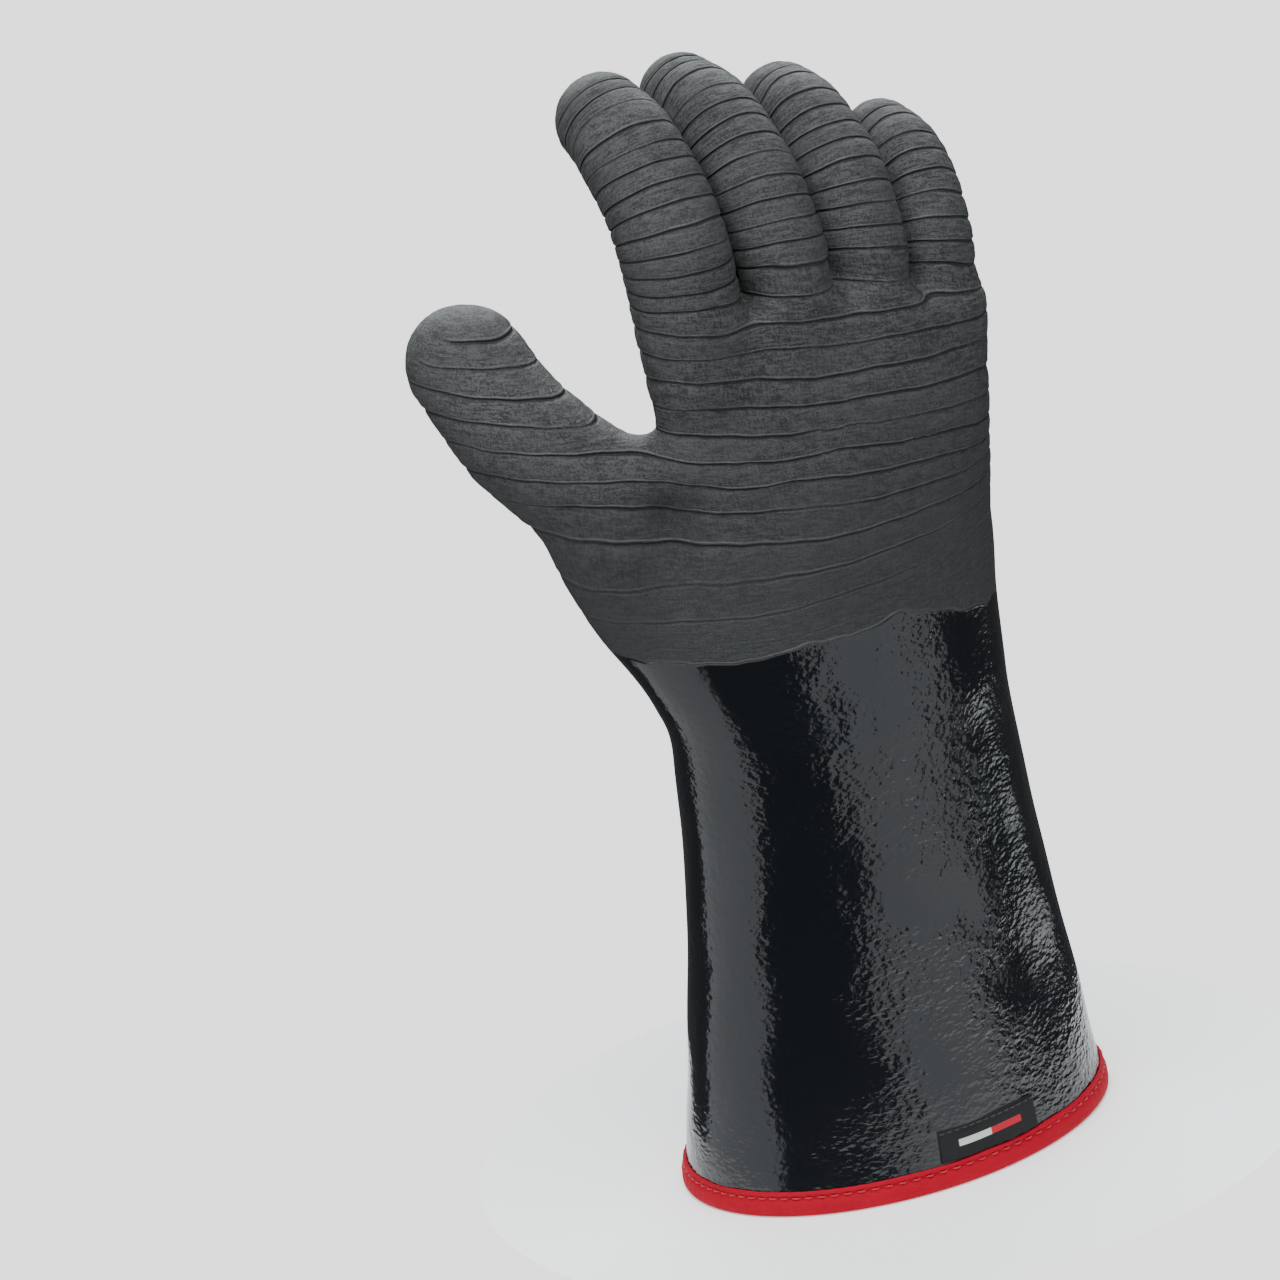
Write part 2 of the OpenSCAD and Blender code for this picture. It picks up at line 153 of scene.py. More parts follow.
# ---- the glove's form
class Digit:
    """A finger or thumb: a curved centreline with a radius and a length along it."""

    def __init__(self, knots, radii, root_knot):
        """knots are the points that the line passes through, and root_knot is the first joint's."""
        knots, radii = np.array(knots, float), np.array(radii, float)
        ends = [2 * knots[0] - knots[1], *knots, 2 * knots[-1] - knots[-2]]
        points, r = [], []
        for i in range(len(knots) - 1):
            a, b, c, d = ends[i:i + 4]
            for t in np.linspace(0, 1, SEGMENTS, endpoint=i == len(knots) - 2):
                points.append(0.5 * (2 * b + (c - a) * t + (2 * a - 5 * b + 4 * c - d) * t * t
                                     + (3 * b - a - 3 * c + d) * t ** 3))
                r.append(radii[i] + (radii[i + 1] - radii[i]) * t)
        self.points, self.radii = np.array(points), np.array(r)
        steps = np.linalg.norm(np.diff(self.points, axis=0), axis=1)
        ways = unit(np.diff(self.points, axis=0))
        self.ahead = unit(np.concatenate([ways[:1], ways[1:] + ways[:-1], ways[-1:]]))
        along = np.concatenate([[0], np.cumsum(steps)])
        self.along = along - along[SEGMENTS * root_knot]
        self.knots_at = [self.along[min(SEGMENTS * i, len(along) - 1)] for i in range(len(knots))]

    def nearest(self, p):
        """For each point: distance to the line less its radius there, and the length along it.
        Far from the digit's box, the distance is the box's and the length is far below the root."""
        margin = self.radii.max()
        low, high = self.points.min(axis=0) - margin, self.points.max(axis=0) + margin
        gap = np.maximum(np.maximum(low - p, p - high), 0)
        best = np.sqrt(np.einsum("ij,ij->i", gap, gap))
        where = np.full(len(p), -FAR)
        near = np.flatnonzero(best < NEAR)
        q = p[near]
        least, at = np.full(len(q), FAR), np.zeros(len(q))
        past = (q - self.points[0]) @ self.ahead[0]
        for i in range(len(self.points) - 1):
            a, ab = self.points[i], self.points[i + 1] - self.points[i]
            from_a = q - a
            before, past = past, (from_a - ab) @ self.ahead[i + 1]
            t = np.clip(before / np.maximum(before - past, 1e-6), 0, 1)
            from_a -= t[:, None] * ab
            d = np.sqrt(np.einsum("ij,ij->i", from_a, from_a))
            d -= self.radii[i] + t * (self.radii[i + 1] - self.radii[i])
            # only between the planes square to the line at the length's two ends
            after = before >= 0 if i else True
            until = past <= 0 if i < len(self.points) - 2 else True
            closer = after & until & (d < least)
            least = np.where(closer, d, least)
            at = np.where(closer, self.along[i] + t * (self.along[i + 1] - self.along[i]), at)
        at += np.maximum((q - self.points[-1]) @ self.ahead[-1], 0)
        best[near], where[near] = least, at
        return best, where

    def at(self, s):
        """Point and direction of the line at a length along it."""
        def point(s):
            return np.array([np.interp(s, self.along, self.points[:, k]) for k in range(3)])
        return point(s), unit(point(s + 1.5) - point(s - 1.5))


def finger(name):
    root, mid, end = (joint_at(f"{name}_{k}") for k in ("root", "middle", "end"))
    axis = joints[f"{name}_root"]["axis"]
    last = turned(unit(end - mid), axis, -joints[f"{name}_end"]["range_deg"][0])
    length = reach(f"{name}_tip_shell", end, last)
    radii = FULLNESS[name]
    tip = end + last * (length + 0.4 - radii[3])
    below = root - 22 * np.array([axis[2], 0, -axis[0]])
    return Digit([below, root, mid, end, tip], [radii[0] - 1.2, *radii], 1)


def thumb():
    root, mid = joint_at("thumb_root"), joint_at("thumb_middle")
    axis = joints["thumb_middle"]["axis"]
    last = turned(unit(mid - root), axis, -joints["thumb_middle"]["range_deg"][0])
    radii = FULLNESS["thumb"]
    tip = mid + last * (reach("thumb_tip_shell", mid, last) + 0.3 - radii[2])
    heel = np.array([-31.0, 8.5, 163.0])
    ball = (heel + root) / 2 + np.array([-3.5, 2.5, 1.5])
    return Digit([heel, ball, root, mid, tip], [23.0, 20.5, *radii], 2)


digits = {name: finger(name) for name in FINGERS}
digits["thumb"] = thumb()

roots = {name: joint_at(f"{name}_root") for name in FINGERS}
palm_z = float(np.mean([roots[n][2] for n in FINGERS])) - 14
PALM_X, PALM_HALF = 15.4, (56.6, 16.5)       # the palm's middle, and its half width and depth
CROTCH = 11.0          # the palm's top edge is this far below the line of the fingers' roots


def loft(z):
    """Middle x, half width and half depth of the cuff, wrist and palm at a height."""
    share = np.clip(1 - z / wrist_z, 0, 1) ** FLARE
    up = smooth(wrist_z - 10, palm_z, z)
    mid_x = wrist_mid[0] * (1 - share) + (PALM_X - wrist_mid[0]) * up
    wide = wrist_half[0] + (hem_half[0] - wrist_half[0]) * share + (PALM_HALF[0] - wrist_half[0]) * up
    deep = wrist_half[1] + (hem_half[1] - wrist_half[1]) * share
    deep = deep - (wrist_half[1] - PALM_HALF[1]) * np.clip((z - wrist_z) / (palm_z - wrist_z), 0, 1.05)
    return mid_x, wide, deep


def crotch(x):
    """Height of the palm's top edge, just below the fingers' roots."""
    line = np.array([roots[n] for n in FINGERS])
    return np.interp(x, line[:, 0], line[:, 2]) - CROTCH


def palm_distance(p):
    mid_x, wide, deep = loft(p[:, 2])
    q = np.stack([(p[:, 0] - mid_x) / wide, p[:, 1] / deep], axis=1)
    k0 = np.linalg.norm(q, axis=1)
    k1 = np.linalg.norm(q / np.stack([wide, deep], axis=1), axis=1)
    side = k0 * (k0 - 1) / np.maximum(k1, 1e-6)
    top = p[:, 2] - crotch(p[:, 0])
    return -soft_min(-side, -top, 10)


def dents(p):
    """The soft unevenness of a moulded glove."""
    cuff = 1 - smooth(150, 185, p[:, 2])
    folds = 0.55 * waves(p * [1, 1, 0.45], 62, 11) + 0.22 * waves(p * [1, 1, 0.6], 24, 12)
    palm = 0.3 * waves(p, 26, 13)
    return cuff * folds * smooth(4, 24, p[:, 2]) + (1 - cuff) * palm


WEB = np.array([[-37.0, 1.0, 227.5], [-55.0, 17.0, 226.5]])    # the skin between thumb and index finger
WEB_R = 9.0
FILLET = {name: 12.0 for name in FINGERS} | {"thumb": 13.0}


def body_distance(p):
    """Distance to the cuff, palm and web."""
    a, ab = WEB[0], WEB[1] - WEB[0]
    t = np.clip((p - a) @ (ab / (ab @ ab)), 0, 1)
    web = np.linalg.norm(p - a - t[:, None] * ab, axis=1) - WEB_R
    return soft_min(palm_distance(p), web, 12)


def distance(p):
    """Distance to the glove's smooth outer skin, below 0 inside."""
    body = body_distance(p)
    total = np.full(len(p), FAR)
    for name, digit in digits.items():
        total = np.minimum(total, soft_min(body, digit.nearest(p)[0], FILLET[name]))
    return total - dents(p)


def digit_distance(name):
    def f(p):
        return soft_min(body_distance(p), digits[name].nearest(p)[0], FILLET[name]) - dents(p)
    return f


def gradient(f, p, step=0.4):
    g = np.stack([f(p + e) - f(p - e) for e in np.eye(3) * step], axis=1)
    return unit(g)


# ---- creases
def crease_field(p):
    """Turns counted in creases across the glove, and how deep the creases are. They run level over
    the hand and thumb, leaning a little, and across each finger."""
    lean = CREASE_LEAN * smooth(SEAM_Z, 225, p[:, 2])
    height = p[:, 2] + lean * (p[:, 0] - wrist_mid[0])
    found = {name: digit.nearest(p) for name, digit in digits.items()}
    least = np.min([d for d, _ in found.values()], axis=0)
    total, weight, bare = np.zeros(len(p)), np.zeros(len(p)), np.zeros(len(p))
    for name, (d, s) in found.items():
        digit = digits[name]
        root = digit.at(0)[0]
        level = root[2] + CREASE_LEAN * (root[0] - wrist_mid[0])
        side = p[:, 0] - np.interp(s, digit.along, digit.points[:, 0])
        slope = CREASE_LEAN + (FINGER_LEAN - CREASE_LEAN) * smooth(0, 12, s)
        across = level + s + CREASE_RATE * np.maximum(s, 0) + slope * side
        share = 0 if name == "thumb" else smooth(-26, 4, s)
        w = np.exp((least - d) / 3)
        total += w * ((1 - share) * height + share * across)
        weight += w
        bare += w * smooth(3, 9, s - digit.knots_at[-1])
    count = total / weight + 0.55 * waves(p, 46, 21) + 0.22 * waves(p, 15, 22)
    turns = count / CREASE_GAP
    # every crease runs for a while and fades, at its own places
    fading = smooth(-1.3, -0.1, waves(np.stack([p[:, 0], p[:, 1], np.round(turns) * 57.0], axis=1), 70, 23))
    depth = smooth(SEAM_Z - 10, SEAM_Z + 42, p[:, 2]) * (0.3 + 0.7 * fading)
    return turns, depth * (1 - bare / weight)


def displaced(p, n):
    """Points of the finished skin, with the creases pressed in and the bands between them full."""
    turns, depth = crease_field(p)
    off = (turns - np.round(turns)) * CREASE_GAP
    (deep, groove_at, groove_wide), (high, lip_at, lip_wide) = GROOVE, LIP
    groove = np.exp(-((off - groove_at) / groove_wide) ** 2)
    lip = np.exp(-((off - lip_at) / lip_wide) ** 2)
    band = np.cos(off / CREASE_GAP * 2 * math.pi)
    lift = depth * (-deep * groove + high * lip - FULL * band)
    lift += 0.05 * waves(p, 3.1, 31, 7) * smooth(150, 190, p[:, 2])
    return p + n * lift[:, None], turns, depth


# ---- meshes
def placed(name, data):
    obj = bpy.data.objects.new(name, data)
    bpy.context.scene.collection.objects.link(obj)
    return obj


def mesh_object(name, points, faces, fields=None):
    """A smooth-shaded object from points in millimetres. fields are named values at the points."""
    mesh = bpy.data.meshes.new(name)
    mesh.from_pydata((np.asarray(points) * MM).tolist(), [], faces)
    for key, values in (fields or {}).items():
        values = np.asarray(values, np.float32)
        kind, slot = ("FLOAT_VECTOR", "vector") if values.ndim == 2 else ("FLOAT", "value")
        mesh.attributes.new(key, kind, "POINT").data.foreach_set(slot, values.ravel())
    mesh.shade_smooth()
    mesh.set_sharp_from_angle(angle=math.radians(SHARP_DEG))
    return placed(name, mesh)


def grid_faces(rows, columns, flip=False, first=0):
    """Quads of a grid whose columns close on themselves."""
    i, j = np.meshgrid(np.arange(rows - 1), np.arange(columns), indexing="ij")
    a = i * columns + j
    b = i * columns + (j + 1) % columns
    quads = np.stack([a, b, b + columns, a + columns], axis=-1).reshape(-1, 4) + first
    return quads[:, ::-1] if flip else quads


def cast(f, origins, ways, start):
    """Points where rays leave the skin."""
    t = np.full(len(origins), float(start))
    for _ in range(14):
        t = t - 0.85 * in_chunks(f, origins + ways * t[:, None])
    return origins + ways * t[:, None]


class Tube:
    """Rows of points round a line, on the finished skin."""

    def __init__(self, f, origins, ways, start):
        rows, columns = ways.shape[:2]
        smooth_skin = cast(f, origins.reshape(-1, 3), ways.reshape(-1, 3), start)
        normals = gradient(lambda p: in_chunks(f, p), smooth_skin)
        skin, turns, depth = displaced(smooth_skin, normals)
        self.rest, self.normals, self.skin, self.turns, self.depth = (
            v.reshape(rows, columns, *v.shape[1:]) for v in (smooth_skin, normals, skin, turns, depth))

    def piece(self, name, first, last, closed_end=False, high=0.0, low=SHELL, step=1):
        """A wall between two rows. Its outside is the skin, or high millimetres under it, and its
        inside is low millimetres under the skin."""
        def picked(every):
            every = 1 if closed_end else every
            return np.array(sorted(set(range(first, last, every)) | {last - 1}))
        rows_out, rows_in = picked(step), picked(max(step, 6))
        outside = self.skin if high == 0 else self.rest - self.normals * high
        out, inner = outside[rows_out], (self.rest - self.normals * low)[rows_in]
        columns = out.shape[1]
        base = len(rows_out) * columns
        end_out, end_in = base - columns, base + (len(rows_in) - 1) * columns
        faces = [grid_faces(len(rows_out), columns), grid_faces(len(rows_in), columns, True, base)]
        j = np.arange(columns)
        k = (j + 1) % columns
        faces.append(np.stack([j, base + j, base + k, k], axis=1))
        if not closed_end:
            faces.append(np.stack([end_out + j, end_out + k, end_in + k, end_in + j], axis=1))
        faces = np.concatenate(faces).tolist()
        if closed_end:
            faces += [(end_out + j).tolist(), (end_in + j[::-1]).tolist()]

        def both(values, inside):
            width = values.shape[2:]
            return np.concatenate([values[rows_out].reshape(-1, *width),
                                   inside[rows_in].reshape(-1, *width)])
        fields = {"rest": both(self.rest, self.rest), "turns": both(self.turns, self.turns),
                  "crease": both(self.depth, 0 * self.depth)}
        return mesh_object(name, np.concatenate([out.reshape(-1, 3), inner.reshape(-1, 3)]), faces, fields)


def bent(obj, parent, child, first_row, last_row, direction):
    """Bakes a piece's place into its mesh and returns it. The piece is not bent."""
    direction = unit(direction)
    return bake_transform(obj)


def surface_net(f, low, high, step):
    """A mesh of quads where f is 0, within a box: each cell that the surface crosses has a point."""
    coarse = 4
    count = [int(math.ceil((b - a) / (step * coarse))) + 1 for a, b in zip(low, high)]
    axes = [a + np.arange(n) * step * coarse + step * (coarse - 1) / 2 for a, n in zip(low, count)]
    centres = np.stack(np.meshgrid(*axes, indexing="ij"), axis=-1)
    rough = in_chunks(f, centres.reshape(-1, 3)).reshape(count)
    near = np.abs(rough) < step * coarse * 1.6
    block = np.ones((coarse, coarse, coarse))
    values, mask = np.kron(rough, block), np.kron(near, block) > 0
    index = np.argwhere(mask)
    values[mask] = in_chunks(f, np.array(low) + index * step)
    inside = values < 0
    corners = [np.array([x, y, z]) for x in (0, 1) for y in (0, 1) for z in (0, 1)]
    step_along = np.eye(3, dtype=int)
    n = np.array(inside.shape) - 1
    filled = sum(inside[x:x + n[0], y:y + n[1], z:z + n[2]].astype(np.int8) for x, y, z in corners)
    cells = np.argwhere((filled > 0) & (filled < 8))
    number = np.full(tuple(n), -1)
    number[tuple(cells.T)] = np.arange(len(cells))
    total, weight = np.zeros((len(cells), 3)), np.zeros(len(cells))
    for a in corners:
        for k in range(3):
            if a[k]:
                continue
            va, vb = (values[tuple((cells + c).T)] for c in (a, a + step_along[k]))
            cross = (va < 0) != (vb < 0)
            t = np.where(cross, va / np.where(cross, va - vb, 1), 0)
            total += (a + t[:, None] * step_along[k]) * cross[:, None]
            weight += cross
    points = np.array(low) + (cells + total / weight[:, None]) * step
    quads = []
    for k in range(3):
        i, j = (k + 1) % 3, (k + 2) % 3
        change = -np.diff(inside.astype(np.int8), axis=k)
        for sign in (1, -1):
            e = np.argwhere(change == sign)
            e = e[(e[:, i] > 0) & (e[:, j] > 0) & (e[:, i] < n[i]) & (e[:, j] < n[j])]
            ring = [number[tuple((e + di * step_along[i] + dj * step_along[j]).T)]
                    for di, dj in ((-1, -1), (0, -1), (0, 0), (-1, 0))]
            quads.append(np.stack(ring[::sign], axis=1))
    return points, np.concatenate(quads)


def onto(f, p, rounds=3):
    for _ in range(rounds):
        n = gradient(f, p)
        p = p - n * f(p)[:, None]
    return p


def relaxed(p, quads, rounds=2):
    """Points moved to the middle of their neighbours, for even quads."""
    for _ in range(rounds):
        total, count = np.zeros_like(p), np.zeros(len(p))
        for k in range(4):
            np.add.at(total, quads[:, k], p[quads[:, (k + 1) % 4]] + p[quads[:, k - 1]])
            np.add.at(count, quads[:, k], 2)
        p = np.where(count[:, None] > 0, total / np.maximum(count, 1)[:, None], p)
    return p


# ---- materials
class Nodes:
    """Builds one material's node tree."""

    def __init__(self, name):
        self.material = bpy.data.materials.new(name)
        self.material.use_nodes = True
        self.tree = self.material.node_tree
        self.shader = self.tree.nodes["Principled BSDF"]

    def new(self, kind):
        return self.tree.nodes.new("ShaderNode" + kind)

    def link(self, value, socket):
        if isinstance(value, bpy.types.NodeSocket):
            self.tree.links.new(value, socket)
        else:
            socket.default_value = value

    def field(self, name, output="Fac"):
        node = self.new("Attribute")
        node.attribute_name = name
        return node.outputs[output]

    def math(self, operation, a, b=0.0, c=0.0):
        node = self.new("Math")
        node.operation = operation
        for value, socket in zip((a, b, c), node.inputs):
            self.link(value, socket)
        return node.outputs[0]

    def times(self, a, b):
        return self.math("MULTIPLY", a, b)

    def plus(self, a, b):
        return self.math("ADD", a, b)

    def less(self, a, b):
        return self.math("SUBTRACT", a, b)

    def size(self, a):
        return self.math("ABSOLUTE", a)

    def between(self, x, low, high, to_low=0.0, to_high=1.0):
        node = self.new("MapRange")
        node.interpolation_type = "SMOOTHSTEP"
        for value, socket in zip((x, low, high, to_low, to_high), node.inputs):
            self.link(value, socket)
        return node.outputs[0]

    def stretched(self, place, scale):
        node = self.new("VectorMath")
        node.operation = "MULTIPLY"
        self.link(place, node.inputs[0])
        node.inputs[1].default_value = scale
        return node.outputs[0]

    def parts(self, place):
        node = self.new("SeparateXYZ")
        self.link(place, node.inputs[0])
        return node.outputs

    def joined(self, *values):
        node = self.new("CombineXYZ")
        for value, socket in zip(values, node.inputs):
            self.link(value, socket)
        return node.outputs[0]

    def weave(self, along, across, warp, weft):
        """1 where one thread of a cloth lies over the other, and 0 where it lies under."""
        a = self.math("SINE", self.times(along, 2 * math.pi / warp))
        b = self.math("SINE", self.times(across, 2 * math.pi / weft))
        return self.math("MULTIPLY_ADD", self.times(a, b), 0.5, 0.5)

    def noise(self, place, scale, detail=3.0, roughness=0.55):
        node = self.new("TexNoise")
        self.link(place, node.inputs["Vector"])
        for key, value in (("Scale", scale), ("Detail", detail), ("Roughness", roughness)):
            node.inputs[key].default_value = value
        return node.outputs["Fac"]

    def cells(self, place, scale):
        node = self.new("TexVoronoi")
        node.feature = "SMOOTH_F1"
        self.link(place, node.inputs["Vector"])
        node.inputs["Scale"].default_value = scale
        node.inputs["Smoothness"].default_value = 0.6
        return node.outputs["Distance"]

    def mixed(self, share, a, b):
        node = self.new("Mix")
        node.data_type = "RGBA"
        self.link(share, node.inputs["Factor"])
        for value, socket in ((a, node.inputs[6]), (b, node.inputs[7])):
            self.link((*value, 1.0) if isinstance(value, tuple) else value, socket)
        return node.outputs[2]

    def bump(self, height, depth):
        """A bump of a height field whose 1 stands for depth, in metres."""
        node = self.new("Bump")
        node.inputs["Strength"].default_value = 1.0
        node.inputs["Distance"].default_value = depth
        self.link(height, node.inputs["Height"])
        return node.outputs[0]

    def finish(self, colour, roughness, normal=None, **sockets):
        self.link((*colour, 1.0) if isinstance(colour, tuple) else colour, self.shader.inputs["Base Color"])
        self.link(roughness, self.shader.inputs["Roughness"])
        if normal is not None:
            self.link(normal, self.shader.inputs["Normal"])
        for key, value in sockets.items():
            self.shader.inputs[key.replace("_", " ")].default_value = value
        return self.material


DIP_Z = 171.5          # the matt skin ends at this height
DIP_TURN_X, DIP_SLOPE = 12.0, 0.27           # and rises from here towards the little finger, this fast


def dipped_rubber():
    """The skin: matt and crinkled over the hand, glossy and pebbled over the gauntlet."""
    n = Nodes("dipped_rubber")
    rest = n.field("rest", "Vector")
    x, y, height = n.parts(rest)
    wander = n.less(n.noise(rest, 0.035, 2.0), 0.5)
    drop = n.times(n.math("MAXIMUM", n.less(x, DIP_TURN_X), 0.0), DIP_SLOPE)
    line = n.plus(n.math("MULTIPLY_ADD", wander, 10.0, height), drop)
    matt = n.between(line, DIP_Z - 1.2, DIP_Z + 1.0)
    edge = n.between(n.size(n.less(line, DIP_Z)), 0.1, 0.7, 1.0, 0.0)
    glossy = n.less(1.0, matt)
    turns = n.field("turns")
    off = n.times(n.less(turns, n.math("ROUND", turns)), CREASE_GAP)
    deep = n.field("crease")
    crack = n.times(n.between(n.size(n.less(off, GROOVE[1])), 0.12, 0.52, 1.0, 0.0), deep)
    lip = n.times(n.between(n.size(n.less(off, 0.5)), 0.05, 0.5, 1.0, 0.0), deep)
    # the grain follows the creases: fine lines along them, and finer ones across
    flow = n.joined(x, y, n.times(turns, CREASE_GAP))
    along = n.noise(n.stretched(flow, (0.22, 0.22, 1.25)), 1.0, 4.0, 0.68)
    across = n.noise(n.stretched(flow, (1.6, 1.6, 0.35)), 1.0, 3.0, 0.65)
    grain = n.noise(n.stretched(flow, (0.85, 0.85, 1.25)), 1.6, 4.0, 0.8)
    crepe = n.plus(n.times(along, 0.36), n.plus(n.times(across, 0.2), n.times(grain, 0.44)))
    blotch = n.noise(rest, 0.05, 3.0, 0.5)
    pebble = n.cells(n.stretched(rest, (0.75, 0.75, 1.3)), 0.62)
    ripple = n.noise(n.stretched(rest, (0.8, 0.8, 1.2)), 0.3, 3.0, 0.55)
    lit = n.mixed(n.between(crepe, 0.44, 0.56), (0.007, 0.0072, 0.0072), (0.062, 0.062, 0.0615))
    worn = n.mixed(n.times(n.between(blotch, 0.4, 0.7), 0.4), lit, (0.046, 0.0475, 0.0475))
    # painted shade: the hand's colour darkens towards the dip line, away from the fingers that the light
    # from above catches
    low = n.mixed(n.between(height, SEAM_Z + 4, SEAM_Z + 80, 0.72, 0.0), worn, (0.0095, 0.011, 0.013))
    # painted highlight: the colour is lightened on the lip above each crease and on the dip line's edge,
    # where light catches them
    light = n.mixed(n.plus(n.times(lip, 0.55), n.times(edge, 0.2)), low, (0.105, 0.11, 0.112))
    # painted shade: the colour is darkened along each crease's groove, where shade falls
    dark = n.mixed(n.times(crack, 0.9), light, (0.004, 0.0045, 0.005))
    colour = n.mixed(matt, (0.0055, 0.0065, 0.008), dark)
    dull = n.between(crepe, 0.35, 0.65, 0.66, 0.5)
    shine = n.between(blotch, 0.3, 0.75, 0.11, 0.17)
    roughness = n.plus(n.times(dull, matt), n.times(shine, glossy))
    relief = n.less(n.plus(crepe, n.times(lip, 0.5)), crack)
    patch = n.times(n.between(n.noise(rest, 0.03, 2.0), 0.36, 0.62, 0.7, 2.4),
                    n.times(n.between(x, -46.0, -18.0, 0.3, 1.0), n.between(x, 8.0, 40.0, 1.0, 0.6)))
    cuff = n.times(patch, n.plus(n.times(pebble, 0.14), n.times(ripple, 0.42)))
    lift = n.plus(n.times(relief, matt), n.times(cuff, glossy))
    lift = n.plus(lift, n.times(edge, 0.35))
    return n.finish(colour, roughness, n.bump(lift, 0.001), Specular_IOR_Level=0.5)


def woven(name, colour, dark, thread, depth=0.00012, roughness=0.75, sheen=0.2, shine=0.5):
    """Cloth of threads that go over and under along its own two directions."""
    n = Nodes(name)
    over = n.weave(n.field("along"), n.field("across"), thread, thread)
    place = n.field("rest", "Vector")
    fuzz = n.noise(place, 3.0, 3.0)
    uneven = n.noise(place, 0.12, 2.0)
    shade = n.plus(n.times(over, 0.6), n.times(fuzz, 0.4))
    tone = n.mixed(n.between(shade, 0.15, 0.8), dark, colour)
    tone = n.mixed(n.times(n.between(uneven, 0.35, 0.75), 0.25), tone, dark)
    rough = n.between(fuzz, 0.3, 0.7, roughness - 0.08, min(1.0, roughness + 0.08))
    return n.finish(tone, rough, n.bump(shade, depth), Sheen_Weight=sheen, Sheen_Roughness=0.5,
                    Specular_IOR_Level=shine)


def felt(name, colour, dark, scale=1.0):
    """Needled or knitted cloth without a clear weave."""
    n = Nodes(name)
    place = n.field("rest", "Vector")
    fibre = n.noise(n.stretched(place, (1.0, 1.0, 0.5)), 1.3 * scale, 5.0, 0.7)
    lump = n.noise(place, 0.1, 3.0)
    tone = n.mixed(n.between(fibre, 0.3, 0.7), dark, colour)
    tone = n.mixed(n.times(n.between(lump, 0.3, 0.8), 0.3), tone, dark)
    return n.finish(tone, n.between(fibre, 0.2, 0.8, 0.82, 0.98), n.bump(fibre, 0.0003), Sheen_Weight=0.3,
                    Sheen_Roughness=0.6)


def thread(name, colour, dark):
    """Twisted sewing thread."""
    n = Nodes(name)
    place = n.field("rest", "Vector")
    twist = n.noise(n.stretched(place, (1.0, 1.0, 3.0)), 2.2, 2.0)
    tone = n.mixed(n.between(twist, 0.35, 0.65), dark, colour)
    return n.finish(tone, n.between(twist, 0.3, 0.7, 0.5, 0.7), n.bump(twist, 0.0001), Sheen_Weight=0.15)


def plain_cloth(name, dark, pale):
    """Fibrous black cloth or thread for the small CAD pieces that are shown as they are."""
    n = Nodes(name)
    place = n.new("TexCoord").outputs["Object"]
    fibre = n.noise(place, 1400.0, 3.0)
    return n.finish(n.mixed(n.between(fibre, 0.3, 0.7), dark, pale), n.between(fibre, 0.3, 0.7, 0.65, 0.85),
                    n.bump(fibre, 0.0001), Sheen_Weight=0.15)


FLOOR_GLOW = 0.42       # with the lights on it, the floor is as light as what is behind it


def pale_floor():
    n = Nodes("pale_floor")
    mottle = n.noise(n.field("rest", "Vector"), 0.01, 2.0)
    return n.finish(n.mixed(mottle, (0.90, 0.90, 0.90), (0.94, 0.94, 0.94)), 0.9,
                    Emission_Color=(1.0, 1.0, 1.0, 1.0), Emission_Strength=FLOOR_GLOW)


skin_material = dipped_rubber()
red_tape = woven("red_tape", (0.47, 0.0, 0.018), (0.27, 0.0, 0.010), 0.55, sheen=0.0, shine=0.15)
black_webbing = woven("black_webbing", (0.018, 0.018, 0.020), (0.004, 0.004, 0.005), 0.9, 0.0002)
liner_felt = felt("liner_felt", (0.42, 0.42, 0.43), (0.24, 0.24, 0.25))
cotton = felt("cotton", (0.62, 0.60, 0.56), (0.44, 0.42, 0.39), 1.4)
red_thread = thread("red_thread", (0.55, 0.006, 0.018), (0.30, 0.003, 0.010))
dark_thread = thread("dark_thread", (0.035, 0.035, 0.037), (0.012, 0.012, 0.013))


def dressed(obj, material, slot, *stands_for):
    obj.data.materials.clear()
    obj.data.materials.append(material)
    if stands_for:
        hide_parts(*stands_for)
    return obj


# ---- the digits' skins and liners
AROUND = 96            # columns round a digit
ROW_GAP = 0.48         # distance between its rows
ROW_LEAN = 0.08        # a row leans as the creases do
DOME_ROWS = 25         # rows over the round tip
TIP_BEND = 15.0        # a tip piece's second end row, passed to bent, lies this far past its knuckle
GAP = 0.15             # between the shell and the liner


def digit_tube(name, s_from):
    """Rows from a length along the digit to its tip, and the lengths of the rows."""
    digit = digits[name]
    tip_at = digit.knots_at[-1]
    lengths = np.linspace(s_from, tip_at, int((tip_at - s_from) / ROW_GAP))
    dome = np.radians(np.linspace(0, 88.5, DOME_ROWS + 1))[1:]
    turn = np.linspace(0, 2 * math.pi, AROUND, endpoint=False)
    side = unit(np.cross([0, 1.0, 0.2], digit.at(0)[1]))
    origins, ways = [], []
    for s, lift in [(s, 0.0) for s in lengths] + [(tip_at, a) for a in dome]:
        point, ahead = digit.at(s)
        across = unit(side - ahead * (side @ ahead))
        up = np.cross(ahead, across)
        ring = np.cos(turn)[:, None] * across + np.sin(turn)[:, None] * up
        ways.append(math.cos(lift) * ring + math.sin(lift) * ahead)
        lean = 0 if name == "thumb" else ROW_LEAN * smooth(s_from + 1, s_from + 12, s) * math.cos(lift) ** 2
        origins.append(point - lean * digit.radii[0] * ring[:, :1] * ahead)
    tube = Tube(digit_distance(name), np.array(origins), np.array(ways), digit.radii[-1])
    return tube, np.concatenate([lengths, tip_at + np.degrees(dome)])


